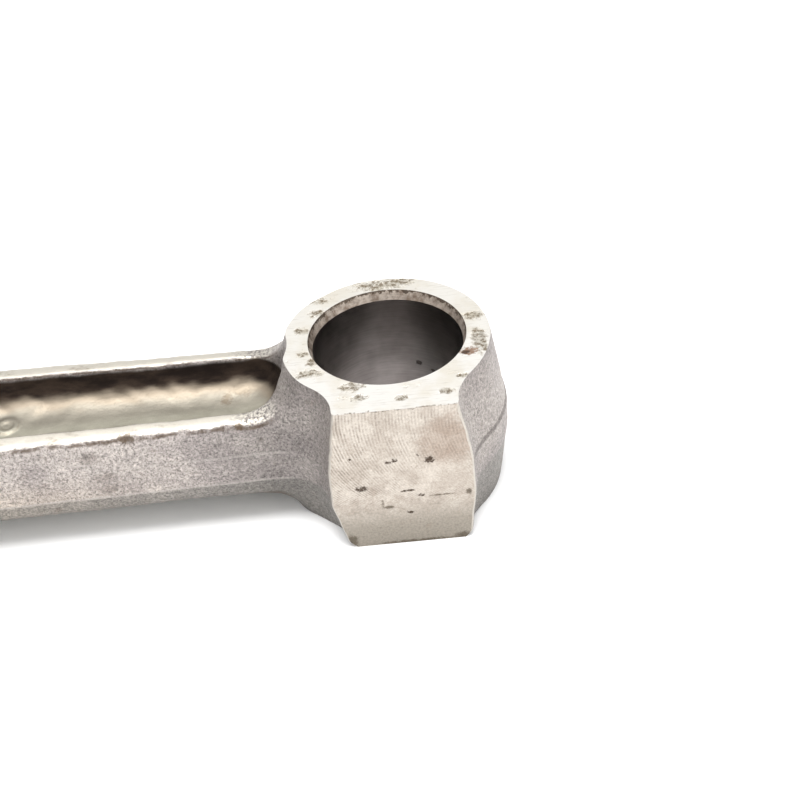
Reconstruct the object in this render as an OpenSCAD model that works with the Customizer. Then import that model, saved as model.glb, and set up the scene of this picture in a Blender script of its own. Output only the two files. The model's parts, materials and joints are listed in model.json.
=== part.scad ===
// Forged connecting rod of a small engine: rod, big-end cap, two pressed-in bolts, two nuts and
// two bearing shells.
// Units are millimetres. The small-end bore axis is the Z axis, the origin is halfway between
// the machined side faces, and the big end lies towards -X.

/* [Overall] */
// Distance between the small-end and big-end bore axes
centre_distance = 122; // [100:1:150]
// Width across the machined side faces of both ends
end_width = 22.8; // [18:0.1:26]
// Height of the forging's parting plane above the middle of that width
parting_z = -1.2; // [-2:0.1:2]
// Height of the trimmed band that runs round the forging at the parting plane
band_height = 4.2; // [1:0.1:6]
// Draft angle of the forged walls above and below the band
draft = 8.5; // [3:0.5:12]

/* [Small end] */
// Radius of the bore that holds the piston pin
pin_bore_r = 10; // [8:0.5:12]
// Depth of the lead-in chamfers of that bore, along its axis
pin_chamfer_depth = 1.3; // [0.5:0.1:2]
// Width of those chamfers, across the bore's axis
pin_chamfer_width = 0.45; // [0.2:0.05:1]
// Outer radius of the small-end ring at the trimmed band
ring_r = 15.35; // [14:0.05:18]
// Offset of the ring from its bore, towards the locating pad
ring_offset = 0.4; // [0:0.1:1]
// Distance of the machined locating pad from the bore axis
pad_distance = 15.66; // [15:0.01:18]
// Half width of the locating pad at the trimmed band
pad_half_width = 9.4; // [7:0.1:11]
// Offset of the pad's middle along the rod
pad_shift = 0.4; // [-1:0.1:1]
// Radius of the hollow between the pad and the ring
pad_blend_r = 6; // [3:0.5:8]

/* [Beam] */
// Half width of the beam at the trimmed band, where it leaves the ring
beam_half_width = 8.95; // [7:0.05:11]
// How far the band's upper edge lies below the ring's along the beam
beam_band_drop = 0.3; // [0:0.1:1]
// How far the band's lower edge lies below the ring's along the beam
beam_band_sag = 0.7; // [0:0.1:1.5]
// Angle by which each side of the beam spreads towards the big end
beam_taper = 1.35; // [0:0.05:3]
// Height of the flanges above and below the parting plane
flange_height = 6.7; // [5:0.1:9]
// Radius of the flanges' outer edges
flange_edge_r = 1.0; // [0.4:0.1:2]
// Half thickness of the web between the flanges
web_half = 2.6; // [1.5:0.1:4]
// Half width of the channel's mouth at its small-end finish
channel_half_width = 5.95; // [4:0.05:7]
// Distance of the channel's small-end finish, its centre of curvature, from the bore axis
channel_start = 21.2; // [18:0.1:30]
// Distance of the channel's big-end finish, its centre of curvature, from the bore axis
channel_end = 79; // [70:0.5:90]
// Radius of the hollow between the channel's walls and the web
channel_fillet_r = 3.2; // [1:0.1:4]
// Radius of the hollow where the flanges rise to an end's machined face
rise_r = 4.5; // [2:0.5:8]

/* [Big end] */
// Radius of the housing bore that the bearing shells sit in
housing_r = 21.5; // [20:0.5:24]
// Outer radius of the housing wall at the trimmed band
housing_wall_r = 28; // [26:0.5:31]
// Distance of each bolt axis from the big-end bore axis
bolt_offset = 27.5; // [25.5:0.25:30]
// Distance of the forged sides of the bolt bosses from the big-end bore axis, at the band
boss_side = 34.9; // [32:0.1:38]
// Distance of the machined flats on the bosses' sides from the big-end bore axis
boss_flat = 34.5; // [32:0.1:37]
// Radius of the bosses' outer corners
boss_corner_r = 3.5; // [1:0.5:6]
// Length of the rod's bolt bosses, from the joint face to the bolt-head seat
boss_length = 19.5; // [14:0.5:24]
// Length of the cap's bolt bosses, from the joint face to the nut seat
cap_boss_length = 19.5; // [14:0.5:24]
// Radius of the hollow that leads the beam's sides out to the bosses
flare_r = 19.5; // [12:0.5:24]
// Outer radius of the rib round the back of the cap
cap_rib_r = 29.6; // [28:0.2:32]
// Width of that rib
cap_rib_width = 9; // [6:0.5:14]
// Half width of the balance pad on that rib
cap_pad_half = 7; // [4:0.5:10]
// Height of the balance pad's face above the rib
cap_pad_height = 0.8; // [0.4:0.1:3]
// Radius of the oil squirt hole
oil_hole_r = 0.8; // [0.5:0.1:1.5]
// Angle of the oil squirt hole from the rod's centre line
oil_hole_angle = 44; // [30:1:60]

/* [Bearing shells] */
// Thickness of each bearing shell
shell_thickness = 1.5; // [1.2:0.05:2]
// Width of each bearing shell
shell_width = 18; // [14:0.5:22]
// Gap between a shell's back and its housing
shell_gap = 0.03; // [0.01:0.01:0.1]
// Width of the locating tang of each shell
tang_width = 4; // [3:0.25:6]
// Length of that tang round the shell, from the joint face
tang_length = 3.6; // [2:0.1:6]
// Height of that tang above the shell's back
tang_height = 0.8; // [0.5:0.1:1.2]

/* [Bolts and nuts] */
// Radius of the bolts' fitting bands and of the outside of their threads
bolt_r = 4.5; // [4:0.25:5]
// Radius of the waisted lengths of the bolts
bolt_neck_r = 4.0; // [3.4:0.1:4.4]
// Radius of the bolt heads
head_r = 7.2; // [6:0.1:8]
// Height of the bolt heads
head_height = 5.5; // [4:0.5:8]
// Distance from the bolt axis to the flat that keeps the bolt from turning
head_flat = 5.9; // [5:0.1:7]
// Gap between a bolt and the bore of the cap or nut that slides over it
bolt_gap = 0.06; // [0.02:0.01:0.1]
// Distance across the flats of the nuts
nut_flats = 14; // [12:0.5:16]
// Height of the nuts
nut_height = 8.5; // [6:0.5:11]
// Length of bolt that stands out of the nut
bolt_end = 2.6; // [1:0.1:5]

/* [Hidden] */
$fn = 96;
half_width = end_width / 2;
band_top = parting_z + band_height / 2;
band_bottom = parting_z - band_height / 2;
flange_top = parting_z + flange_height;
flange_bottom = parting_z - flange_height;
web_top = parting_z + web_half;
slope = tan(draft);
joint_x = -centre_distance;
head_seat_x = joint_x + boss_length;
nut_seat_x = joint_x - cap_boss_length;
bolt_length = boss_length + cap_boss_length + nut_height + bolt_end;
flare_x = -81.5;
flare_y = beam_half_width - flare_x * tan(beam_taper) + flare_r - 0.6;
past = 1;

// How far a forged wall has drawn in from the band at height z
function drawn_in(z) = slope * max(z - band_top, band_bottom - z, 0);

// Points of an arc, from angle a to angle b
function arc(centre, r, a, b, steps = 6) =
    [for (i = [0 : steps]) let (t = a + (b - a) * i / steps)
        centre + r * [cos(t), sin(t)]];

// Places a profile drawn in the YZ plane and runs it from x0 to x1
module run_along_x(x0, x1)
    translate([x0, 0, 0])
        rotate([90, 0, 90])
            linear_extrude(x1 - x0)
                children();

// Keeps only the part of the children with x from x0 to x1
module between_x(x0, x1)
    intersection() {
        children();
        translate([x0, -60, -40])
            cube([x1 - x0, 120, 80]);
    }

// Round forged wall: a disc whose side has the band and the draft
module forged_disc(r, z0 = -half_width, z1 = half_width)
    rotate_extrude()
        polygon([[0, z0], [r - drawn_in(z0), z0], [r, band_bottom], [r, band_top],
                 [r - drawn_in(z1), z1], [0, z1]]);

// Cutter that leaves a hollow of radius r, with band and draft, in a forged wall
module forged_hollow(r)
    rotate_extrude()
        polygon([[0, -20], [r + drawn_in(-20), -20], [r, band_bottom], [r, band_top],
                 [r + drawn_in(20), 20], [0, 20]]);

// Locating pad on the side of the small end, with the hollows that lead into the ring
module locating_pad() {
    w = pad_half_width;
    translate([pad_shift, -pad_distance, 0])
        rotate([-90, 0, 0])
            linear_extrude(pad_distance - 3)
                polygon([for (s = [-1, 1], z = s < 0 ? [half_width, band_top, band_bottom, -half_width]
                                                     : [-half_width, band_bottom, band_top, half_width])
                    [s * (w - drawn_in(z)), -z]]);
    for (s = [-1, 1])
        difference() {
            translate([s > 0 ? 2 : -11.4, -pad_distance + 1.2, -half_width])
                cube([9.4, 6, end_width]);
            translate([pad_shift + s * (w + pad_blend_r), -pad_distance + 0.6, 0])
                forged_hollow(pad_blend_r);
        }
}

// Solid ring whose hollow side leads a beam flange, at height top, up to an end's machined face
module rise(r, top) {
    side = sign(top - parting_z);
    centre = [r - drawn_in(top) + rise_r - 0.3, top + side * (rise_r - 0.06)];
    rotate_extrude()
        polygon(concat([[r - 6, top - side * 2], [r - 6, centre[1]]],
                       arc(centre, rise_r, 180, side > 0 ? 270 : 90, 8),
                       [[centre[0], top - side * 2]]));
}

// Section of one side of the beam, from its centre line outwards
module beam_side_section() {
    w = beam_half_width;
    e = flange_edge_r;
    wt = w - drawn_in(flange_top);
    wb = w - drawn_in(flange_bottom);
    polygon(concat(
        [[-4, flange_top]],
        arc([wt - e, flange_top - e], e, 90, draft, 5),
        [[w, band_top - beam_band_drop], [w, band_bottom - beam_band_sag]],
        arc([wb - e, flange_bottom + e], e, -draft, -90, 5),
        [[-4, flange_bottom]]));
}

// Points of half the upper channel's section: drafted wall, hollow and web
function channel_half() =
    let (w = channel_half_width,
         r = channel_fillet_r,
         foot = w - 0.5 - (flange_top - web_top - r) * tan(18))
    concat([[w + 0.6, flange_top + 9], [w + 0.35, flange_top], [w - 0.15, flange_top - 0.5]],
           arc([foot - r, web_top + r], r, -18, -90, 4));

// Cutter for the channel on the upper face (side 1) or the lower face (side -1) of the beam
module channel(side) {
    half = [for (p = channel_half()) [p[0], parting_z + side * (p[1] - parting_z)]];
    ends = [half[len(half) - 1][1], half[0][1]];
    run_along_x(-channel_end, -channel_start)
        polygon(concat(half, [for (i = [len(half) - 1 : -1 : 0]) [-half[i][0], half[i][1]]]));
    for (x = [-channel_start, -channel_end])
        translate([x, 0, 0])
            rotate_extrude()
                polygon(concat([[0, ends[1]]], half, [[0, ends[0]]]));
}

// The children with both channels cut out of them
module channelled()
    difference() {
        children();
        channel(1);
        channel(-1);
    }

// Beam with its spreading sides and its flared foot, still without channels
module beam_blank() {
    for (s = [-1, 1])
        mirror([0, s < 0 ? 1 : 0, 0])
            rotate([0, 0, -beam_taper])
                mirror([1, 0, 0])
                    run_along_x(4, 100)
                        beam_side_section();
    flare(flange_bottom, flange_top);
}

// Beam's wider foot, hollowed on both sides, that carries the big end; z0 and z1 are its faces
module flare(z0, z1)
    difference() {
        run_along_x(head_seat_x - 2, flare_x - 4.6)
            polygon([[-22, z0], [-22, z1], [22, z1], [22, z0]]);
        for (s = [-1, 1])
            translate([flare_x, s * flare_y, 0])
                forged_hollow(flare_r);
    }

// Hollows between the beam's flanges and the small end's faces
module small_end_rises()
    intersection() {
        union() {
            rise(ring_r, flange_top);
            rise(ring_r, flange_bottom);
        }
        translate([-30, -beam_half_width + 1.4, -half_width])
            cube([18, 2 * beam_half_width - 2.8, end_width]);
    }

// Hollows between the beam's flared foot and the big end's faces
module big_end_rises()
    intersection() {
        translate([joint_x, 0, 0]) {
            rise(housing_wall_r, flange_top);
            rise(housing_wall_r, flange_bottom);
        }
        flare(-half_width, half_width);
    }

// Bolt boss on one side, running from x0 to x1
module bolt_boss(side, x0, x1) {
    inner = bolt_offset - head_flat - 0.2;
    r = boss_corner_r;
    outer_x = abs(x0 - joint_x) > abs(x1 - joint_x) ? x0 : x1;
    back = outer_x < joint_x ? 1 : -1;
    corner = back > 0 ? 180 : 0;
    mirror([0, side < 0 ? 1 : 0, 0])
        intersection() {
            run_along_x(x0, x1)
                polygon([[inner, -half_width], [boss_side - drawn_in(-half_width), -half_width],
                         [boss_side, band_bottom], [boss_side, band_top],
                         [boss_side - drawn_in(half_width), half_width], [inner, half_width]]);
            translate([0, 0, -half_width])
                linear_extrude(end_width)
                    polygon(concat([[joint_x, inner], [joint_x, boss_side]],
                                   arc([outer_x + back * r, boss_side - r], r, 90, corner, 5),
                                   [[outer_x, inner]]));
        }
}

// Cutter for the machined flats on the sides of the bosses
module boss_flats()
    for (s = [-1, 1])
        translate([joint_x - 40, s > 0 ? boss_flat : -boss_flat - 10, -20])
            cube([80, 10, 40]);

// Housing bore with the notch for a shell's tang; z is the notch's height
module housing_bore(tang_z, toward)
    translate([joint_x, 0, 0]) {
        translate([0, 0, -half_width - past])
            cylinder(h = end_width + 2 * past, r = housing_r, $fn = 128);
        for (s = [-1, 1])
            translate([0, 0, s * (half_width - 0.6)])
                mirror([0, 0, s < 0 ? 1 : 0])
                    cylinder(h = 0.6 + past, r1 = housing_r, r2 = housing_r + 0.6 + past, $fn = 128);
        translate([toward > 0 ? -past : -tang_length - 0.3, housing_r - 1, tang_z - tang_width / 2 - 0.15])
            cube([tang_length + 0.3 + past, 1 + tang_height + 0.12, tang_width + 0.3]);
    }

// Cutter for the piston-pin bore and its lead-in chamfers
module pin_bore() {
    translate([0, 0, -half_width - past])
        cylinder(h = end_width + 2 * past, r = pin_bore_r);
    for (s = [-1, 1])
        mirror([0, 0, s < 0 ? 1 : 0])
            translate([0, 0, half_width - pin_chamfer_depth])
                cylinder(h = 2 * pin_chamfer_depth, r1 = pin_bore_r,
                         r2 = pin_bore_r + 2 * pin_chamfer_width);
}

// Cutter for the rod's two bolt holes
module rod_bolt_holes()
    for (s = [-1, 1])
        translate([joint_x - past, s * bolt_offset, 0])
            rotate([0, 90, 0])
                cylinder(h = boss_length + 2 * past, r = bolt_r);

// Cutter for the seats of the bolt heads, each with a wall that the head's flat faces
module head_seats()
    for (s = [-1, 1])
        translate([head_seat_x, s * bolt_offset, 0])
            rotate([0, 90, 0])
                difference() {
                    cylinder(h = 20, r = head_r + 0.6);
                    translate([-20, s > 0 ? -20 - head_flat : head_flat, -1])
                        cube([40, 20, 30]);
                }

// Cutter for the oil squirt hole, which runs out of the big-end bore at hole radius r
module oil_hole(r)
    translate([joint_x, 0, 0])
        rotate([90, 0, 90 - oil_hole_angle])
            cylinder(h = 40, r = r, $fn = 24);

// Everything of the rod that is solid before boring and drilling
module rod_blank() {
    translate([0, -ring_offset, 0])
        forged_disc(ring_r);
    locating_pad();
    channelled()
        beam_blank();
    channelled()
        small_end_rises();
    between_x(joint_x, joint_x + 40)
        translate([joint_x, 0, 0])
            forged_disc(housing_wall_r);
    big_end_rises();
    for (s = [-1, 1])
        bolt_boss(s, joint_x, head_seat_x);
}

// Forged and machined rod: small end, beam and the upper half of the big end
module rod_body()
    color([0.62, 0.6, 0.58])
        difference() {
            rod_blank();
            pin_bore();
            housing_bore(-3, 1);
            rod_bolt_holes();
            head_seats();
            oil_hole(oil_hole_r);
            boss_flats();
        }

// Cap that closes the lower half of the big end
module big_end_cap()
    color([0.6, 0.58, 0.56])
        difference() {
            union() {
                between_x(joint_x - 40, joint_x)
                    translate([joint_x, 0, 0]) {
                        forged_disc(housing_wall_r);
                        translate([0, 0, parting_z - cap_rib_width / 2])
                            cylinder(h = cap_rib_width, r = cap_rib_r);
                    }
                for (s = [-1, 1])
                    bolt_boss(s, nut_seat_x, joint_x);
                translate([joint_x - cap_rib_r - cap_pad_height, -cap_pad_half,
                           parting_z - cap_rib_width / 2])
                    cube([6, 2 * cap_pad_half, cap_rib_width]);
            }
            boss_flats();
            housing_bore(3, -1);
            for (s = [-1, 1]) {
                translate([joint_x + past, s * bolt_offset, 0])
                    rotate([0, -90, 0])
                        cylinder(h = cap_boss_length + 2 * past, r = bolt_r + bolt_gap);
                translate([nut_seat_x, s * bolt_offset, 0])
                    rotate([0, -90, 0])
                        cylinder(h = 20, r = nut_flats / 2 / cos(30) + 0.7);
            }
        }

// Bolt pressed into the rod from its shoulder, drawn along +Z from under its head
module cap_bolt(side)
    color([0.3, 0.3, 0.32])
        translate([head_seat_x, side * bolt_offset, 0])
            rotate([0, -90, 0]) {
                difference() {
                    rotate_extrude()
                        polygon([[0, -head_height], [head_r - 0.6, -head_height],
                                 [head_r, -head_height + 0.6], [head_r, 0], [0, 0]]);
                    translate([-20, side > 0 ? -20 - head_flat + 0.1 : head_flat - 0.1, -20])
                        cube([40, 20, 30]);
                }
                rotate_extrude()
                    polygon([[0, -1], [bolt_r, -1], [bolt_r, 9], [bolt_neck_r, 9.6],
                             [bolt_neck_r, boss_length - 4.6], [bolt_r, boss_length - 4],
                             [bolt_r, boss_length + 6], [bolt_neck_r, boss_length + 6.6],
                             [bolt_neck_r, boss_length + 12.4], [bolt_r, boss_length + 13],
                             [bolt_r, bolt_length - 0.9], [bolt_r - 0.9, bolt_length],
                             [0, bolt_length]]);
            }

module cap_bolt_a() cap_bolt(1);
module cap_bolt_b() cap_bolt(-1);

// Hexagon nut with chamfered corners, standing on the cap's nut seat
module cap_nut(side) {
    corner_r = nut_flats / 2 / cos(30);
    color([0.34, 0.34, 0.36])
        translate([nut_seat_x, side * bolt_offset, 0])
            rotate([0, -90, 0])
                difference() {
                    intersection() {
                        linear_extrude(nut_height)
                            polygon([for (i = [0 : 5]) corner_r * [cos(60 * i), sin(60 * i)]]);
                        rotate_extrude()
                            polygon([[0, 0], [nut_flats / 2 - 0.3, 0], [corner_r + 0.1, 0.75],
                                     [corner_r + 0.1, nut_height - 0.75],
                                     [nut_flats / 2 - 0.3, nut_height], [0, nut_height]]);
                    }
                    translate([0, 0, -past])
                        cylinder(h = nut_height + 2 * past, r = bolt_r + bolt_gap);
                }
}

module cap_nut_a() cap_nut(1);
module cap_nut_b() cap_nut(-1);

// Half-round bearing shell; toward is +1 for the rod's shell and -1 for the cap's
module bearing_shell(toward, tang_z) {
    back_r = housing_r - shell_gap;
    inner_r = housing_r - shell_thickness;
    translate([joint_x, 0, 0])
        difference() {
            union() {
                translate([0, 0, -shell_width / 2])
                    cylinder(h = shell_width, r = back_r, $fn = 128);
                translate([toward > 0 ? 0 : -tang_length, back_r - 1, tang_z - tang_width / 2])
                    cube([tang_length, 1 + tang_height, tang_width]);
            }
            translate([0, 0, -shell_width])
                cylinder(h = 2 * shell_width, r = inner_r, $fn = 128);
            translate([toward > 0 ? -40 : 0, -40, -20])
                cube([40, 80, 40]);
            if (toward > 0)
                translate([-joint_x, 0, 0])
                    oil_hole(oil_hole_r + 0.4);
        }
}

module upper_bearing_shell() color([0.72, 0.72, 0.74]) bearing_shell(1, -3);
module lower_bearing_shell() color([0.72, 0.72, 0.74]) bearing_shell(-1, 3);

rod_body();
big_end_cap();
cap_bolt_a();
cap_bolt_b();
cap_nut_a();
cap_nut_b();
upper_bearing_shell();
lower_bearing_shell();
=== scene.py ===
"""Looks of the forged connecting rod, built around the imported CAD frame.

Shapes are worked out in millimetres in the row's frame: the small-end bore axis is Z through the
origin, and the big end lies towards -X. Meshes are scaled to metres when they become objects.
"""

import json
import math

import bmesh
import bpy
import numpy as np
from mathutils import Matrix, Vector


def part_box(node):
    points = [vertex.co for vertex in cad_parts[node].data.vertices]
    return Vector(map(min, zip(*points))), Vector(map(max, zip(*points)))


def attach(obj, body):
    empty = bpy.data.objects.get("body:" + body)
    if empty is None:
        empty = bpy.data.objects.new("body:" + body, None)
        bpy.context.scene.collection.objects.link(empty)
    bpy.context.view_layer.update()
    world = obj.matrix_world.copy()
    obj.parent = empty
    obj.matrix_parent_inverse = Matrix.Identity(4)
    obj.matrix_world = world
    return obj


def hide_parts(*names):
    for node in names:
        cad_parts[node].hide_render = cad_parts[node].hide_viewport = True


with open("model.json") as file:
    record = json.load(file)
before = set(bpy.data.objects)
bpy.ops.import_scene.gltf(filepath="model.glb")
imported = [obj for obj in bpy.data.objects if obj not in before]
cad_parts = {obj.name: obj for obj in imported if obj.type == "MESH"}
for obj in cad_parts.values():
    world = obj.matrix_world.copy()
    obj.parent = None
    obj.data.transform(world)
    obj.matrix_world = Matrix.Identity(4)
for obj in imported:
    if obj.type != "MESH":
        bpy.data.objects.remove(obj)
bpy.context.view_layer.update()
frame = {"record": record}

MM = 0.001
mounts = {m["name"]: m for m in frame["record"]["mounts"]}


def box_mm(node):
    """Lowest and highest corner of a CAD node, in millimetres."""
    low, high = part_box(node)
    return [v / MM for v in low], [v / MM for v in high]


HEAD_HEIGHT = 5.5

# Sizes and places read from the frame
HALF_WIDTH = box_mm("rod_body")[1][2]
PIN_R = mounts["small_end_bore"]["dims"]["r_mm"]
SHELL_R = mounts["big_end_bore"]["dims"]["r_mm"]
BIG_X = mounts["big_end_bore"]["pos_m"][0] / MM
PAD_Y = mounts["small_end_pad"]["pos_m"][1] / MM
FLAT_Y = box_mm("rod_body")[1][1]
HEAD_SEAT_X = box_mm("cap_bolt_a")[1][0] - HEAD_HEIGHT
NUT_SEAT_X = box_mm("cap_nut_a")[1][0]
NUT_END_X = box_mm("cap_nut_a")[0][0]
BOLT_END_X = box_mm("cap_bolt_a")[0][0]
BOLT_Y = sum(box_mm("cap_nut_a")[i][1] for i in (0, 1)) / 2
SHELL_HALF = box_mm("upper_bearing_shell")[1][2]
CAP_END_X = box_mm("big_end_cap")[0][0]

# Forging
PARTING_Z = -1.2
BAND_TOP = 0.9
BAND_LOW = -3.3
SLOPE = math.tan(math.radians(8.5))
RING_R = 15.35
RING_SHIFT = 0.4
PAD_HALF = 9.4
PAD_SHIFT = 0.3
PAD_LEAN = 0.06
PAD_SLOPE = 0.16
PAD_PROUD = 0.25
PAD_CUT_Y = PAD_Y + 0.01
STOCK = 1.2
BEAM_HALF = 8.95
BEAM_TAPER = 0.0236
BEAM_BAND_TOP = 1.1
BEAM_BAND_LOW = -3.5
FLANGE = 6.7
FLANGE_LOW = 6.1
RISE_R = 8.0
RISE_R_LOW = 10.0
RISE_WALL_R = 12.5
STAMP = (-53.0, 1.0, 1.3)
NICKS = [(-35.1, -9.0, 5.6, 0.75), (-34.6, -9.3, 4.7, 0.6), (-20.3, -8.7, 5.7, 0.45)]
WEB = 2.6
CHANNEL_HALF = 5.95
CHANNEL_Y = 0.1
CHANNEL_SPREAD = 0.014
CHANNEL_ENDS = (-79.0, -20.1)
FLARE_X = -81.5
FLARE_R = 19.5
HOUSING_R = 21.5
WALL_R = 28.0
BOSS_SIDE = 34.9
BOLT_R = 4.5
HEAD_R = 7.2
HEAD_FLAT = 5.9
WAIST_R = 4.0
NUT_SEAT_R = 8.8
CLEARANCE = 0.06
OIL_ANGLE = math.radians(44)
OIL_AXIS = (math.cos(OIL_ANGLE), -math.sin(OIL_ANGLE), 0)

# Mesh fineness, and the seeds of the lumpy skins
ROD_STEP, CAP_STEP = 0.38, 0.5
ROD_SEED, CAP_SEED = 11, 23
REACH_Y, REACH_Z = 36.4, 13.4


# ---------------------------------------------------------------- shapes as distance fields

def join(a, b, k):
    """Union of two fields with a hollow of about radius k between them."""
    h = np.clip(0.5 + 0.5 * (b - a) / k, 0.0, 1.0)
    return b * (1 - h) + a * h - k * h * (1 - h)


def overlap(a, b, k):
    """Intersection of two fields with an edge rounded to about radius k."""
    return -join(-a, -b, k)


def drawn_in(z, top=BAND_TOP, low=BAND_LOW, slope=SLOPE, step=0.14):
    """How far a forged wall has drawn in at height z, with a small step up from the trimmed band."""
    away = np.maximum(np.maximum(z - top, low - z), 0.0)
    return slope * away + step * np.clip((z - top) / 0.35, 0.0, 1.0)


def rounded_box(x, y, centre_x, half_x, half_y, r):
    """Plan of a rectangle with rounded corners, centred on y = 0."""
    qx = np.abs(x - centre_x) - half_x + r
    qy = np.abs(y) - half_y + r
    outside = np.hypot(np.maximum(qx, 0.0), np.maximum(qy, 0.0))
    return outside + np.minimum(np.maximum(qx, qy), 0.0) - r


def small_end(x, y, z):
    """Ring round the pin bore with the locating pad on its side."""
    ring = np.hypot(x, y + RING_SHIFT) - RING_R
    corner = 0.8 * np.clip((1.4 - HALF_WIDTH - z) / 1.4, 0.0, 1.0) ** 2
    centre = PAD_SHIFT + PAD_LEAN * np.maximum(-4.0 - z, 0.0)
    pad = np.abs(x - centre) - PAD_HALF + drawn_in(z, 2.5, -4.2, PAD_SLOPE, 0.0) + corner
    pad = np.maximum(overlap(pad, PAD_Y - PAD_PROUD - y, 1.1), y - 1.0)
    return join(ring + drawn_in(z), pad, 2.7)


def beam_half_width(x):
    """Half width of the beam, which spreads slowly and then flares out to the bosses."""
    along = np.clip(FLARE_X - x, 0.0, FLARE_R - 0.4)
    flare = np.sqrt(FLARE_R ** 2 - along ** 2)
    rise = FLARE_R - flare
    return BEAM_HALF - np.maximum(x, FLARE_X) * BEAM_TAPER + rise, along / flare


def beam(x, y, z):
    """I-beam, still without its channels."""
    width, steepness = beam_half_width(x)
    side = (np.abs(y) - width) / np.sqrt(1.0 + steepness ** 2)
    side = side + drawn_in(z, BEAM_BAND_TOP, BEAM_BAND_LOW, np.where(z < PARTING_Z, 0.24, SLOPE), 0.10)
    side = np.maximum(side, x - 2.0)
    lower = z < PARTING_Z
    rise_r = np.where(lower, RISE_R_LOW, RISE_R)
    climb = np.clip(RISE_WALL_R + rise_r - np.hypot(x, y + RING_SHIFT), 0.0, rise_r - 0.5)
    level = np.sqrt(rise_r ** 2 - climb ** 2)
    flange = np.where(lower, FLANGE_LOW, FLANGE)
    top = (np.abs(z - PARTING_Z) - flange - (rise_r - level)) * level / rise_r
    return overlap(side, top, np.where(lower, 2.4, 1.7))


def channel(x, y, z):
    """Hollow between the flanges, on both faces; negative inside the hollow."""
    nearest = np.clip(x, *CHANNEL_ENDS)
    spread = CHANNEL_SPREAD * (CHANNEL_ENDS[1] - nearest)
    plan = np.hypot(x - nearest, y - CHANNEL_Y) - CHANNEL_HALF - spread
    height = np.abs(z - PARTING_Z)
    lean = np.where(height < FLANGE, 0.3, 0.16)
    return overlap(plan + lean * (FLANGE - height), WEB - height, 4.2)


def big_end(x, y, z, boss_from, boss_to):
    """Housing wall with a bolt boss on each side."""
    wall = np.hypot(x - BIG_X, y) - WALL_R
    boss = rounded_box(x, y, (boss_from + boss_to) / 2, (boss_to - boss_from) / 2, BOSS_SIDE, 3.5)
    return join(wall, boss, 2.5) + drawn_in(z)


def rod_field(x, y, z):
    """The whole rod forging before machining."""
    ends = join(small_end(x, y, z), beam(x, y, z), 3.4)
    body = join(ends, big_end(x, y, z, BIG_X - 8.0, HEAD_SEAT_X + 1.0), 5.0)
    body = overlap(body, -channel(x, y, z), 0.55)
    stamp = np.hypot(np.hypot(x - STAMP[0], y - STAMP[1]) - STAMP[2], z - PARTING_Z - WEB) - 0.3
    body = join(body, stamp, 0.5)
    for nick_x, nick_y, nick_z, r in NICKS:
        nick = np.sqrt((x - nick_x) ** 2 + (y - nick_y) ** 2 + (z - nick_z) ** 2) - r
        body = overlap(body, -nick, 0.3)
    return np.maximum(np.maximum(body, np.abs(z) - HALF_WIDTH - STOCK), BIG_X - 1.0 - x)


def cap_field(x, y, z):
    """The whole cap forging before machining."""
    body = big_end(x, y, z, NUT_SEAT_X - 1.0, BIG_X + 8.0)
    round_rib = np.hypot(x - BIG_X, y) - 29.6
    rib = overlap(round_rib, np.abs(z - PARTING_Z) - 4.6, 1.5)
    pad = rounded_box(x, y, CAP_END_X + 6.0, 7.0, 7.0, 2.0)
    pad = overlap(pad, np.abs(z - PARTING_Z) - 4.9, 1.2)
    body = join(join(body, rib, 2.0), pad, 2.0)
    return np.maximum(np.maximum(body, np.abs(z) - HALF_WIDTH - STOCK), x - BIG_X - 1.0)


def lumps(points, size, seed):
    """Smooth random swelling of a forged skin, about -1 to 1, with lumps of the given size."""
    rng = np.random.default_rng(seed)
    total = np.zeros(len(points))
    for _ in range(14):
        direction = rng.normal(size=3)
        direction *= rng.uniform(0.6, 1.5) * 2 * math.pi / (size * np.linalg.norm(direction))
        total += np.sin(points @ direction + rng.uniform(0, 2 * math.pi))
    return total / 5.0


# ---------------------------------------------------------------- fields to meshes

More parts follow.
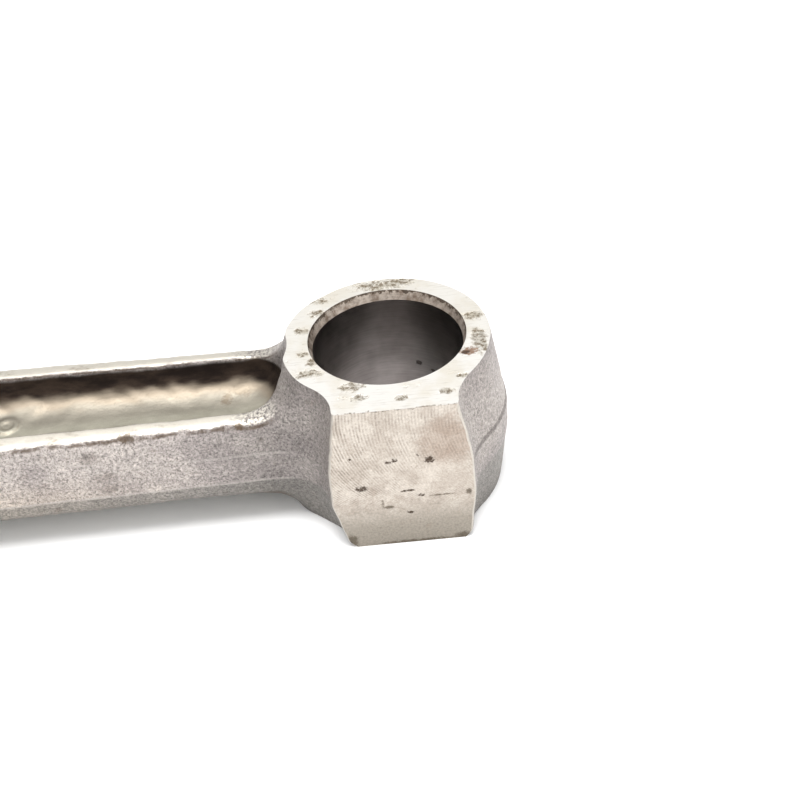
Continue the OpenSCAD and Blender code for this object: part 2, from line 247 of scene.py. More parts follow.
def surface_net(field, low, high, step):
    """Quads on the zero surface of a field, one vertex in each cell that the surface crosses."""
    axes = [np.arange(a, b + step, step, dtype=np.float32) for a, b in zip(low, high)]
    x, y, z = axes[0][:, None, None], axes[1][None, :, None], axes[2][None, None, :]
    values = np.broadcast_to(field(x, y, z), [len(a) for a in axes]).astype(np.float32)
    inside = values < 0
    cells = tuple(n - 1 for n in values.shape)
    total = np.zeros(cells + (3,), np.float32)
    count = np.zeros(cells, np.float32)
    for axis in range(3):
        others = [a for a in range(3) if a != axis]
        for du in (0, 1):
            for dv in (0, 1):
                start = [slice(0, n) for n in cells]
                start[others[0]] = slice(du, du + cells[others[0]])
                start[others[1]] = slice(dv, dv + cells[others[1]])
                end = list(start)
                end[axis] = slice(1, 1 + cells[axis])
                a, b = values[tuple(start)], values[tuple(end)]
                crossed = inside[tuple(start)] != inside[tuple(end)]
                share = np.where(crossed, a / np.where(crossed, a - b, 1.0), 0.0)
                total[..., axis] += share
                total[..., others[0]] += du * crossed
                total[..., others[1]] += dv * crossed
                count += crossed
    used = count > 0
    index = np.full(cells, -1, np.int64)
    index[used] = np.arange(used.sum())
    corners = np.argwhere(used)
    points = (corners + total[used] / count[used][:, None]) * step + np.array(low)
    quads = []
    for axis in range(3):
        u, v = (axis + 1) % 3, (axis + 2) % 3
        start = [slice(1, n) for n in cells]
        start[axis] = slice(0, cells[axis])
        end = list(start)
        end[axis] = slice(1, 1 + cells[axis])
        a, b = inside[tuple(start)], inside[tuple(end)]
        at = np.argwhere(a != b)
        leaving = a[tuple(at.T)]
        at[:, u] += 1
        at[:, v] += 1
        ring = []
        for du, dv in ((1, 1), (0, 1), (0, 0), (1, 0)):
            cell = at.copy()
            cell[:, u] -= du
            cell[:, v] -= dv
            ring.append(index[tuple(cell.T)])
        ring = np.stack(ring, 1)
        quads.append(np.where(leaving[:, None], ring, ring[:, ::-1]))
    return points, np.concatenate(quads).tolist()


def settle(field, points, swelling, rounds=3):
    """Moves net points onto the field's surface, swollen outwards by the given amounts."""
    h = 0.02
    for _ in range(rounds):
        slope = np.empty_like(points)
        for axis in range(3):
            ahead, behind = points.copy(), points.copy()
            ahead[:, axis] += h
            behind[:, axis] -= h
            slope[:, axis] = (field(*ahead.T) - field(*behind.T)) / (2 * h)
        size = np.maximum((slope ** 2).sum(1), 0.2)
        push = (field(*points.T) - swelling) / size
        points = points - slope * np.clip(push, -0.2, 0.2)[:, None]
    return points


def new_object(name, points, faces):
    """A mesh object from points in millimetres."""
    mesh = bpy.data.meshes.new(name)
    mesh.from_pydata((np.asarray(points) * MM).tolist(), [], faces)
    mesh.validate()
    made = bpy.data.objects.new(name, mesh)
    bpy.context.scene.collection.objects.link(made)
    return made


def lathe(name, profile, centre, axis, steps=96):
    """Closed solid turned from (radius, height) pairs that start and end on the axis."""
    turn = Vector((0, 0, 1)).rotation_difference(Vector(axis)).to_matrix()
    points, rings = [], []
    for radius, height in profile:
        if radius < 1e-6:
            rings.append([len(points)])
            points.append(turn @ Vector((0, 0, height)))
            continue
        rings.append(list(range(len(points), len(points) + steps)))
        for i in range(steps):
            angle = 2 * math.pi * i / steps
            points.append(turn @ Vector((radius * math.cos(angle), radius * math.sin(angle), height)))
    faces = []
    for low, high in zip(rings, rings[1:]):
        for i in range(steps):
            j = (i + 1) % steps
            if len(low) == 1:
                faces.append((low[0], high[j], high[i]))
            elif len(high) == 1:
                faces.append((low[i], low[j], high[0]))
            else:
                faces.append((low[i], low[j], high[j], high[i]))
    points = [Vector(centre) + p for p in points]
    return new_object(name, np.array([tuple(p) for p in points]), faces)


def block(name, low, high):
    """Box between two corners."""
    corners = [(x, y, z) for x in (low[0], high[0]) for y in (low[1], high[1])
               for z in (low[2], high[2])]
    faces = [(0, 1, 3, 2), (4, 6, 7, 5), (0, 4, 5, 1), (2, 3, 7, 6), (0, 2, 6, 4), (1, 5, 7, 3)]
    return new_object(name, corners, faces)


def apply_modifiers(obj):
    """Replaces an object's mesh with what its modifiers make of it."""
    graph = bpy.context.evaluated_depsgraph_get()
    mesh = bpy.data.meshes.new_from_object(obj.evaluated_get(graph))
    obj.modifiers.clear()
    obj.data = mesh


def combine(obj, tools, operation="DIFFERENCE"):
    """Cuts obj with each tool, or intersects them, and removes the tools."""
    for tool in tools:
        step = obj.modifiers.new(tool.name, "BOOLEAN")
        step.operation = operation
        step.solver = "MANIFOLD"
        step.object = tool
    apply_modifiers(obj)
    for tool in tools:
        bpy.data.objects.remove(tool)


# ---------------------------------------------------------------- machining

def bore_tool(name, r, x, half, chamfer_depth, chamfer_width):
    """Bore along Z with lead-in chamfers at both faces."""
    e = chamfer_width / chamfer_depth
    mouth = r + chamfer_width + e * 2
    profile = [(0, -half - 2), (mouth, -half - 2), (r, -half + chamfer_depth),
               (r, half - chamfer_depth), (mouth, half + 2), (0, half + 2)]
    return lathe(name, profile, (x, 0, 0), (0, 0, 1), 160)


def face_tools():
    """Blocks that take both side faces to width."""
    return [block("face_up", (-170, -50, HALF_WIDTH), (30, 50, 30)),
            block("face_down", (-170, -50, -30), (30, 50, -HALF_WIDTH))]


def flat_tools():
    """Blocks that machine the outer flats of the bolt bosses."""
    return [block("flat_a", (-170, FLAT_Y, -30), (-80, 60, 30)),
            block("flat_b", (-170, -60, -30), (-80, -FLAT_Y, 30))]


def drill(name, r, start, axis, length, steps=48):
    """Plain round hole."""
    return lathe(name, [(0, 0), (r, 0), (r, length), (0, length)], start, axis, steps)


def joint_edges():
    """Square bars on edge that break the sharp edges where rod and cap meet."""
    bars = []
    for side in (-1, 1):
        bars.append(drill("edge", 0.22, (BIG_X, -40, side * HALF_WIDTH), (0, 1, 0), 80, 4))
        bars.append(drill("edge", 0.22, (BIG_X, side * FLAT_Y, -20), (0, 0, 1), 40, 4))
    return bars


def tang_notch(z, toward):
    """Slot in the housing for a bearing shell's tang."""
    x = sorted((BIG_X - toward * 2.0, BIG_X + toward * 3.9))
    return block("notch", (x[0], HOUSING_R - 1, z - 2.15), (x[1], HOUSING_R + 0.92, z + 2.15))


def head_seat(side):
    """Spot face for a bolt head, with the wall that its flat bears on."""
    tool = lathe("seat", [(0, 0), (HEAD_R + 0.6, 0), (HEAD_R + 0.6, 20), (0, 20)],
                 (HEAD_SEAT_X, side * BOLT_Y, 0), (1, 0, 0), 64)
    wall = side * (BOLT_Y - HEAD_FLAT)
    low, high = sorted((wall, wall - side * 30))
    combine(tool, [block("wall", (-130, low, -30), (0, high, 30))])
    return tool


SKIN, FACE, MILLED, BORE, CHAMFER = range(5)


def sort_rod_faces(centre, normal):
    """Which finish each face of a machined forging has, from where it is and how it faces."""
    x, y, z = centre.T
    finish = np.full(len(centre), SKIN)
    flat = (np.abs(z) > HALF_WIDTH - 0.01) & (np.abs(normal[:, 2]) > 0.99)
    flat |= (np.abs(x - BIG_X) < 0.01) & (np.abs(normal[:, 0]) > 0.99)
    flat |= (np.abs(np.abs(y) - FLAT_Y) < 0.01) & (np.abs(normal[:, 1]) > 0.99)
    from_bolt = np.hypot(np.abs(y) - BOLT_Y, z)
    seat = (np.abs(x - HEAD_SEAT_X) < 0.01) | (np.abs(x - NUT_SEAT_X) < 0.01)
    seat |= (from_bolt < NUT_SEAT_R + 0.02) & (np.abs(normal[:, 0]) < 0.05) & (x < HEAD_SEAT_X + 9)
    flat |= seat & (from_bolt < NUT_SEAT_R + 0.1)
    finish[flat] = FACE
    finish[(np.abs(y - PAD_CUT_Y) < 0.005) & (x > -30) & (normal[:, 1] < -0.99)] = MILLED
    for axis_x, r in ((0.0, PIN_R), (BIG_X, HOUSING_R)):
        away = np.hypot(x - axis_x, y)
        finish[(away < r + 1.0) & (np.abs(z) < HALF_WIDTH - 0.01) & ~flat] = CHAMFER
        finish[(away < r + 0.02) & (np.abs(normal[:, 2]) < 0.05)] = BORE
    return finish


def one_finish(centre, normal):
    """The same finish on every face."""
    return np.zeros(len(centre))


def finish_faces(obj, materials, sorter, smooth_slot=0):
    """Gives each face its material, and keeps edges sharp where finishes meet."""
    mesh = obj.data
    mesh.materials.clear()
    for material in materials:
        mesh.materials.append(material)
    count = len(mesh.polygons)
    centre, normal = np.empty(count * 3), np.empty(count * 3)
    mesh.polygons.foreach_get("center", centre)
    mesh.polygons.foreach_get("normal", normal)
    slots = sorter(centre.reshape(-1, 3) / MM, normal.reshape(-1, 3))
    mesh.polygons.foreach_set("material_index", slots.astype(np.int32))
    work = bmesh.new()
    work.from_mesh(mesh)
    for face in work.faces:
        face.smooth = True
    for edge in work.edges:
        if len(edge.link_faces) != 2:
            continue
        a, b = edge.link_faces
        machined = a.material_index != smooth_slot or b.material_index != smooth_slot
        edge.smooth = not (machined and (a.material_index != b.material_index
                                         or edge.calc_face_angle(0) > 0.45))
    work.to_mesh(mesh)
    work.free()


def channel_lumps(points, seed):
    """Further swelling inside the channels, in millimetres."""
    in_channel = np.clip(-channel(*points.T) + 0.6, 0.0, 1.0)
    return in_channel * (0.05 * lumps(points, 5.0, seed))


def forge(name, field, low, high, step, seed, further_swelling=None):
    """Forged skin of a field, a little lumpy as forgings are."""
    points, quads = surface_net(field, low, high, step)
    swelling = 0.06 * lumps(points, 9.0, seed) + 0.03 * lumps(points, 3.0, seed + 1)
    if further_swelling:
        swelling += further_swelling(points, seed + 2)
    points = settle(field, points, swelling)
    return new_object(name, points, quads)


# ---------------------------------------------------------------- materials

# Where stains and pits lie, as (across, up, width, height)
FACE_STAINS = [
    (-10.6, -6.8, 3.6, 1.9), (-4.8, -10.3, 3.2, 2.2), (-4.1, -12.6, 2.4, 1.3), (1.2, -13.4, 1.6, 1.2),
    (7.0, -12.9, 2.2, 1.2), (-11.2, -2.5, 1.8, 1.2), (-10.1, -4.3, 1.4, 1.6), (-11.4, 2.7, 2.0, 1.6),
    (-9.0, 6.4, 2.6, 2.0), (-8.9, 9.3, 2.8, 1.6), (-0.4, 11.8, 7.5, 2.4), (2.9, 12.2, 3.4, 1.8),
    (11.6, 2.6, 3.0, 2.0), (12.0, -3.0, 2.2, 5.4), (9.3, -10.1, 1.8, 0.9)]
FLANK_STAINS = [
    (-40.3, 3.0, 2.8, 1.8), (-38.6, 0.0, 2.8, 1.6), (-38.4, -2.0, 2.6, 1.6), (-17.6, 3.2, 0.9, 0.9)]
WEB_STAINS = [(-22.7, 2.2, 1.6, 2.4), (-20.4, 3.4, 3.2, 2.0)]
PAD_PITS = [
    (-1.3, 2.9, 0.9, 0.5), (-0.5, 3.1, 0.8, 0.6), (4.0, 2.7, 1.3, 1.2), (2.5, 3.7, 0.4, 0.4),
    (-6.1, 4.0, 0.35, 0.35), (-5.0, -1.2, 1.5, 0.9), (0.8, -2.2, 1.6, 0.4), (2.5, -3.1, 0.8, 0.6),
    (0.9, -6.0, 0.8, 0.5)]
PAD_SCRATCHES = [
    (5.1, -3.4, 3.4, 0.35), (-2.6, -4.2, 0.6, 1.6), (-2.0, -4.8, 1.6, 0.5), (-7.2, -10.4, 1.7, 2.6),
    (7.6, -11.0, 2.4, 1.3), (1.5, -11.3, 10.0, 0.8), (8.7, -3.4, 0.7, 1.2)]


class Finish:
    """A procedural material whose textures are laid out in millimetres in the row's frame."""

    def __init__(self, name):
        self.material = bpy.data.materials.new(name)
        self.material.use_nodes = True
        self.tree = self.material.node_tree
        self.shader = self.tree.nodes["Principled BSDF"]
        coords = self.new("ShaderNodeTexCoord")
        self.point = self.scaled(coords.outputs["Object"], (1000, 1000, 1000))
        self.x, self.y, self.z = self.split(self.point)
        self.facing = self.split(coords.outputs["Normal"])

    def new(self, kind, **settings):
        node = self.tree.nodes.new(kind)
        for key, value in settings.items():
            setattr(node, key, value)
        return node

    def put(self, socket, value):
        """Links a socket to another node's output, or sets it to a number or colour."""
        if isinstance(value, bpy.types.NodeSocket):
            self.tree.links.new(value, socket)
        else:
            socket.default_value = value

    def scaled(self, vector, by):
        node = self.new("ShaderNodeVectorMath", operation="MULTIPLY")
        self.put(node.inputs[0], vector)
        self.put(node.inputs[1], by)
        return node.outputs[0]

    def split(self, vector):
        node = self.new("ShaderNodeSeparateXYZ")
        self.put(node.inputs[0], vector)
        return node.outputs[0], node.outputs[1], node.outputs[2]

    def calc(self, operation, a, b=0.0, c=0.0):
        node = self.new("ShaderNodeMath", operation=operation)
        for socket, value in zip(node.inputs, (a, b, c)):
            self.put(socket, value)
        return node.outputs[0]

    def mul(self, a, b):
        return self.calc("MULTIPLY", a, b)

    def mul_add(self, a, b, c):
        """a times b, plus c."""
        return self.calc("MULTIPLY_ADD", a, b, c)

    def add(self, a, b):
        return self.calc("ADD", a, b)

    def sub(self, a, b):
        return self.calc("SUBTRACT", a, b)

    def larger(self, a, b):
        return self.calc("MAXIMUM", a, b)

    def absolute(self, a):
        """The number without its sign."""
        return self.calc("ABSOLUTE", a)

    def noise(self, size, detail=2.0, roughness=0.5, stretch=(1, 1, 1)):
        """Cloudy noise from 0 to 1 with features about size millimetres across."""
        node = self.new("ShaderNodeTexNoise")
        self.put(node.inputs["Vector"], self.scaled(self.point, stretch))
        self.put(node.inputs["Scale"], 1.0 / size)
        self.put(node.inputs["Detail"], detail)
        self.put(node.inputs["Roughness"], roughness)
        return node.outputs["Fac"]

    def step(self, value, start, end):
        """0 before start, 1 after end, smooth between; start may be the larger."""
        node = self.new("ShaderNodeMapRange", interpolation_type="SMOOTHSTEP")
        self.put(node.inputs["Value"], value)
        if start <= end:
            ranges = (start, end, 0.0, 1.0)
        else:
            ranges = (end, start, 1.0, 0.0)
        for socket, number in zip(node.inputs[1:5], ranges):
            self.put(socket, number)
        return node.outputs[0]

    def mix(self, share, a, b):
        """Colour a where share is 0 and b where it is 1."""
        node = self.new("ShaderNodeMix", data_type="RGBA")
        self.put(node.inputs["Factor"], share)
        colours = [s for s in node.inputs if s.type == "RGBA"]
        for socket, value in zip(colours, (a, b)):
            self.put(socket, (*value, 1.0) if isinstance(value, tuple) else value)
        return [s for s in node.outputs if s.type == "RGBA"][0]

    def blend(self, share, a, b):
        """Number a where share is 0 and b where it is 1."""
        return self.mul_add(share, self.sub(b, a), a)

    def times(self, colour, value):
        """Colour made lighter or darker by a number."""
        node = self.new("ShaderNodeVectorMath", operation="SCALE")
        self.put(node.inputs[0], colour)
        self.put(node.inputs["Scale"], value)
        return node.outputs[0]

    def spots(self, across, up, places, ragged=1.0, size=0.8, outside=1.15, inside=0.55):
        """Ragged spots at (across, up, width, height) in millimetres, soft between two levels."""
        wobble = self.mul(self.sub(self.noise(size, 4, 0.75), 0.5), 4 * ragged)
        total = 0.0
        for u, v, width, height in places:
            du = self.calc("DIVIDE", self.sub(across, u), width / 2)
            dv = self.calc("DIVIDE", self.sub(up, v), height / 2)
            away = self.add(self.mul(du, du), self.mul(dv, dv))
            spot = self.step(self.add(away, wobble), outside, inside)
            total = spot if total == 0.0 else self.larger(total, spot)
        return total

    def done(self, colour, roughness, height, metallic=1.0):
        """Connects the finished looks; height is in millimetres."""
        self.put(self.shader.inputs["Base Color"], colour)
        self.put(self.shader.inputs["Roughness"], roughness)
        self.put(self.shader.inputs["Metallic"], metallic)
        node = self.new("ShaderNodeBump")
        self.put(node.inputs["Strength"], 1.0)
        self.put(node.inputs["Distance"], MM)
        self.put(node.inputs["Height"], height)
        self.put(self.shader.inputs["Normal"], node.outputs["Normal"])
        return self.material


def blasted_grey(f, grain, pits):
    """Shot-blasted steel, warmer far along the beam, with painted shade on the flank below the beam's
    lower band line.
    """
    broad = f.noise(9.0, 3.0, 0.55)
    grey = f.mix(f.step(broad, 0.35, 0.65), (0.25, 0.225, 0.215), (0.335, 0.305, 0.285))
    grey = f.times(grey, f.blend(f.step(f.x, 2.0, -10.0), 0.96, 0.86))
    grey = f.times(grey, f.blend(f.step(f.x, -15.0, -29.0), 1.0, 1.42))
    warm = f.mul(f.step(f.x, -22.0, -60.0), f.step(f.z, 2.0, -4.0))
    grey = f.mix(f.mul(warm, 0.55), grey, (0.50, 0.43, 0.355))
    # painted shade: the down-facing flank below the lower band line is darkened to stand in for shade
    painted_underside_shade = f.step(f.z, BEAM_BAND_LOW + 0.1, BEAM_BAND_LOW - 0.3)
    grey = f.mix(f.mul(painted_underside_shade, 0.60), grey, (0.15, 0.145, 0.13))
    stains = f.step(f.noise(2.2, 5.0, 0.65), 0.60, 0.72)
    grey = f.mix(f.mul(stains, 0.5), grey, (0.13, 0.10, 0.085))
    near = f.step(f.y, -3.0, -6.0)
    flank = f.mul(f.spots(f.x, f.z, FLANK_STAINS, 1.1, 1.4, 1.6, 0.0), near)
    grey = f.mix(f.mul(flank, 0.38), grey, (0.10, 0.08, 0.065))
    shade = f.add(-0.60, f.mul(grain, 3.45))
    shade = f.mul(shade, f.sub(1.0, f.mul(pits, 0.65)))
    return f.times(grey, f.larger(shade, 0.15))


def with_band_highlights_and_line(f, colour):
    """Adds painted highlights along the beam's trimmed band, and a dark line along the ring's."""
    # painted highlight: a bright line along the lower crease of the beam's band
    crest_highlight = f.absolute(f.sub(f.z, BEAM_BAND_LOW))
    crest_highlight = f.mul(f.step(crest_highlight, 0.32, 0.05), f.step(f.x, -13.0, -16.0))
    crest_highlight = f.mul(crest_highlight, f.noise(1.5, 3.0, 0.6))
    colour = f.mix(crest_highlight, colour, (0.44, 0.41, 0.38))
    # painted highlight: a fainter bright line along the upper crease of the band
    faint_highlight = f.absolute(f.sub(f.z, BEAM_BAND_TOP - 0.1))
    faint_highlight = f.mul(f.step(faint_highlight, 0.28, 0.05), f.step(f.x, -13.0, -15.0))
    faint_highlight = f.mul(faint_highlight, f.step(f.x, -38.0, -26.0))
    colour = f.mix(f.mul(faint_highlight, 0.45), colour, (0.46, 0.43, 0.40))
    edge = f.absolute(f.sub(f.z, BAND_TOP + 0.2))
    edge = f.mul(f.step(edge, 0.45, 0.1), f.step(f.x, 2.0, 6.0))
    return f.mix(f.mul(edge, 0.55), colour, (0.10, 0.085, 0.08))


def flange_tops(f, grain, up, height):
    """Where flange tops are rubbed and where their dark rims lie, and the rubbed colour."""
    on_beam = f.mul(f.step(f.x, -13.5, -17.5), f.step(f.x, -104.0, -92.0))
    worn = f.add(up, f.mul(f.sub(f.noise(1.4, 4.0, 0.7), 0.5), 0.35))
    worn = f.mul_add(f.step(f.x, -22.0, -19.0), 0.14, worn)
    flange = f.mul(f.step(worn, 0.80, 0.97), f.step(height, FLANGE - 1.2, FLANGE - 0.5))
    flange = f.mul(flange, on_beam)
    speckled = f.blend(f.step(f.x, -23.0, -18.5), 1.0, f.step(grain, 0.44, 0.56))
    flange = f.mul(flange, speckled)
    rubbed = f.noise(2.2, 5.0, 0.7, (0.5, 1.0, 1.0))
    rubbed = f.mix(f.step(rubbed, 0.52, 0.75), (0.66, 0.62, 0.54), (0.30, 0.25, 0.19))
    rubbed = f.times(rubbed, f.blend(f.step(f.y, -2.0, 2.0), 1.0, 0.80))
    rim = f.mul(f.step(worn, 0.50, 0.68), f.step(worn, 0.90, 0.74))
    rim = f.mul(f.mul(rim, on_beam), f.step(height, FLANGE - 1.8, FLANGE - 1.0))
    rim = f.mul(rim, f.step(f.noise(2.5, 4.0, 0.65), 0.35, 0.55))
    return flange, rim, rubbed


def channel_inside(f, up, height):
    """Where the channel lies, its colours, and the streaks along it: a scale-stained web painted lighter
    on its near half as painted light, and walls painted dark as painted shade.
    """
    sideways = f.absolute(f.sub(f.y, CHANNEL_Y))
    spread = f.mul(f.sub(CHANNEL_ENDS[1], f.x), CHANNEL_SPREAD)
    inset = f.sub(f.add(CHANNEL_HALF, spread), sideways)
    hollow = f.mul(f.step(inset, -0.1, 0.25), f.step(height, FLANGE + 0.2, FLANGE - 0.25))
    hollow = f.mul(hollow, f.mul(f.step(f.x, -13.7, -14.3), f.step(f.x, -86.0, -85.0)))
    streaks = f.noise(1.7, 5.0, 0.62, (0.35, 1.0, 1.0))
    fine = f.noise(0.5, 4.0, 0.7, (0.6, 1.0, 1.0))
    # painted light: the web's near half is given a lighter colour to stand in for light reaching it
    web = f.mix(f.step(f.y, 2.0, -1.0), (0.265, 0.243, 0.20), (0.355, 0.337, 0.275))
    cloudy = f.mul_add(fine, 0.45, streaks)
    web = f.times(web, f.mul_add(cloudy, 0.55, 0.58))
    browned = f.spots(f.x, f.y, WEB_STAINS, 1.2, 1.0, 1.5, 0.0)
    web = f.mix(f.mul(browned, 0.55), web, (0.13, 0.09, 0.055))
    # painted shade: the channel walls and the fillets at their feet are painted dark to stand in for shade
    wall = f.mix(f.step(streaks, 0.35, 0.65), (0.013, 0.008, 0.006), (0.036, 0.024, 0.017))
    lean = f.add(up, f.mul(f.sub(streaks, 0.5), 0.15))
    between = f.mix(f.step(lean, 0.90, 0.62), (0.25, 0.21, 0.16), wall)
    near_foot = f.mul(f.step(f.y, 0.0, -3.0), f.step(lean, 0.70, 0.82))
    between = f.mix(near_foot, between, web)
    return hollow, f.mix(f.step(lean, 0.985, 0.86), web, between), streaks


def blasted_skin():
    """Shot-blasted forged steel, with a satin scale-stained channel that has painted shade on its walls
    and painted light on its web, painted highlights along the band and the pad's edge, and rubbed flange
    tops.
    """
    f = Finish("blasted_steel")
    grain = f.noise(0.40, 5.0, 0.8)
    pits = f.step(f.noise(0.22, 3.0, 0.75), 0.48, 0.33)
    up = f.absolute(f.facing[2])
    height = f.absolute(f.sub(f.z, PARTING_Z))
    flange, rim, rubbed = flange_tops(f, grain, up, height)
    hollow, inner, streaks = channel_inside(f, up, height)
    colour = with_band_highlights_and_line(f, blasted_grey(f, grain, pits))
    colour = f.mix(f.mul(rim, 0.8), colour, (0.10, 0.07, 0.05))
    # painted highlight: a bright line on the skin along the milled pad's edge
    corner = f.mul(f.step(f.y, PAD_Y + 0.55, PAD_Y + 0.2), f.step(f.x, -20.0, -15.0))
    colour = f.mix(f.mul(corner, 0.7), colour, (0.60, 0.56, 0.50))
    colour = f.mix(f.mul(flange, 0.9), colour, rubbed)
    nicked = [(x, y + 0.5, 2.6 * r, 1.8 * r) for x, y, _, r in NICKS]
    nicked = f.mul(f.spots(f.x, f.y, nicked, 0.9, 0.5), f.step(f.z, 4.2, 4.9))
    colour = f.mix(f.mul(nicked, 0.75), colour, (0.10, 0.07, 0.045))
    colour = f.mix(hollow, colour, inner)
    rough = f.blend(hollow, f.blend(flange, 0.50, 0.40), 0.46)
    bumps = f.add(f.mul(grain, 0.17), f.mul(pits, -0.05))
    bumps = f.mul(bumps, f.sub(1.0, f.mul(f.larger(flange, hollow), 0.8)))
    bumps = f.add(bumps, f.mul(f.mul(hollow, streaks), 0.05))
    bumps = f.add(bumps, f.mul(f.mul(flange, f.noise(1.2, 4.0, 0.65)), 0.10))
    return f.done(colour, rough, bumps, metallic=0.85)


def ground_face():
    """Side faces ground bright, with pitted brown patches left from service."""
    f = Finish("ground_face")
    lines = f.noise(0.16, 3.0, 0.6, (0.06, 1.0, 1.0))
    broad = f.noise(5.0, 4.0, 0.6)
    bright = f.mix(f.step(broad, 0.40, 0.68), (0.82, 0.80, 0.76), (0.75, 0.71, 0.63))
    far = f.step(f.add(f.y, f.mul(f.sub(broad, 0.5), 9.0)), -9.0, 4.0)
    bright = f.mix(f.mul(far, 0.20), bright, (0.62, 0.58, 0.49))
    scratch = f.step(lines, 0.54, 0.74)
    bright = f.mix(f.mul(scratch, 0.38), bright, (0.36, 0.32, 0.26))
    upright = f.step(f.absolute(f.facing[2]), 0.6, 0.3)
    bright = f.mix(upright, bright, (0.37, 0.355, 0.33))
    smudge = f.spots(f.x, f.y, FACE_STAINS, 1.3, 0.9, 1.5, 0.0)
    speck = f.step(f.noise(0.55, 5.0, 0.8), 0.45, 0.57)
    other = f.mul(f.step(f.noise(2.6, 5.0, 0.7), 0.58, 0.72), 0.5)
    smudge = f.larger(smudge, other)
    colour = f.mix(f.mul(smudge, 0.46), bright, (0.31, 0.25, 0.155))
    marks = f.mul(smudge, speck)
    colour = f.mix(f.mul(marks, 0.85), colour, (0.12, 0.085, 0.045))
    rust = f.spots(f.x, f.y, [(10.3, -5.1, 2.3, 1.6)], 1.6, 0.5, 1.3, 0.3)
    colour = f.mix(f.mul(rust, 0.85), colour, (0.22, 0.105, 0.045))
    core = f.spots(f.x, f.y, [(9.9, -5.3, 1.2, 0.8)], 1.2, 0.4)
    colour = f.mix(f.mul(core, 0.85), colour, (0.055, 0.03, 0.018))
    # ragged pitting along the edge over the locating pad
    edge = f.mul_add(f.noise(1.1, 5.0, 0.75), 2.4, f.y)
    ragged = f.mul(f.step(edge, PAD_Y + 1.32, PAD_Y + 1.07), f.step(f.x, -30.0, -29.0))
    colour = f.mix(f.mul(ragged, 0.8), colour, (0.15, 0.11, 0.07))
    rough = f.blend(marks, 0.34, 0.75)
    height = f.sub(f.mul(lines, 0.010), f.mul(marks, 0.07))
    return f.done(colour, rough, height)


def mill_arcs(f, tool_r=17.0, tool_z=9.5, feed=0.41):
    """Waves from 0 to 1 along the arcs that a face mill leaves, one for each feed of the tool."""
    drop = f.sub(f.z, tool_z)
    reach = f.sub(tool_r ** 2, f.mul(drop, drop))
    reach = f.calc("SQRT", f.larger(reach, 4.0))
    phase = f.calc("DIVIDE", f.add(f.x, reach), feed)
    phase = f.add(phase, f.mul(f.noise(3.5, 3.0, 0.5), 0.8))
    wave = f.calc("SINE", f.mul(phase, 2 * math.pi))
    return f.mul_add(wave, 0.5, 0.5)


def mill_marks_left(f):
    """How much of the tool marks is left; they are worn smooth towards one corner."""
    patchy = f.noise(4.0, 3.0)
    worn = f.add(f.z, f.mul(f.sub(patchy, 0.5), 7.0))
    worn = f.step(worn, -9.5, -1.5)
    polish = f.spots(f.x, f.z, [(5.0, 0.0, 10.0, 5.5)], 0.6, 4.0, 1.7, 0.1)
    marks = f.mul(worn, f.sub(1.0, f.mul(polish, 0.85)))
    return f.mul(marks, f.step(f.noise(1.3, 4.0, 0.7), 0.30, 0.72))


def milled_pad():
    """Locating pad with curved tool marks, pits, scratches and brown stains."""
    f = Finish("milled_pad")
    wave, marks = mill_arcs(f), mill_marks_left(f)
    lined = f.blend(f.step(f.x, -7.0, -1.0), 0.70, 0.40)
    grain = f.noise(0.34, 4.0, 0.75)
    clouds = f.step(f.noise(3.2, 4.0, 0.6), 0.38, 0.62)
    clean = f.mix(clouds, (0.40, 0.355, 0.31), (0.49, 0.445, 0.395))
    clean = f.mix(f.step(f.z, -3.0, -9.0), clean, (0.265, 0.24, 0.205))
    brown = f.step(f.noise(2.0, 5.0, 0.7), 0.54, 0.70)
    clean = f.mix(f.mul(brown, 0.35), clean, (0.22, 0.175, 0.135))
    colour = f.mix(f.mul(f.mul(wave, marks), lined), clean, (0.12, 0.095, 0.075))
    tint = f.spots(f.x, f.z, [(6.6, 5.6, 7.0, 8.5)], 0.8, 2.5, 1.7, 0.1)
    colour = f.mix(f.mul(tint, 0.42), colour, (0.20, 0.13, 0.09))
    pits = f.spots(f.x, f.z, PAD_PITS, 1.5, 0.42, 1.2, 0.1)
    brim = f.mul_add(f.noise(1.1, 5.0, 0.75), 2.4, f.z)
    pits = f.larger(pits, f.step(brim, HALF_WIDTH + 1.25, HALF_WIDTH + 1.55))
    scratch = f.spots(f.x, f.z, PAD_SCRATCHES, 1.1, 0.8, 1.6, 0.0)
    loose = f.noise(0.7, 5.0, 0.75, (0.6, 1.0, 1.3))
    loose = f.mul(f.step(loose, 0.60, 0.72), f.step(f.z, 4.0, -3.0))
    scratch = f.larger(scratch, f.mul(loose, 0.6))
    colour = f.mix(f.mul(scratch, 0.6), colour, (0.13, 0.105, 0.075))
    colour = f.mix(f.mul(pits, 0.88), colour, (0.075, 0.05, 0.035))
    speck = f.step(f.noise(0.22, 3.0, 0.7), 0.42, 0.30)
    colour = f.mix(f.mul(speck, 0.45), colour, (0.17, 0.14, 0.115))
    colour = f.times(colour, f.add(0.46, f.mul(grain, 1.08)))
    dark = f.larger(pits, scratch)
    rough = f.blend(dark, 0.42, 0.8)
    height = f.mul(f.mul(wave, marks), -0.022)
    height = f.sub(height, f.mul(pits, 0.08))
    height = f.add(height, f.mul(grain, 0.035))
    return f.done(colour, rough, height)


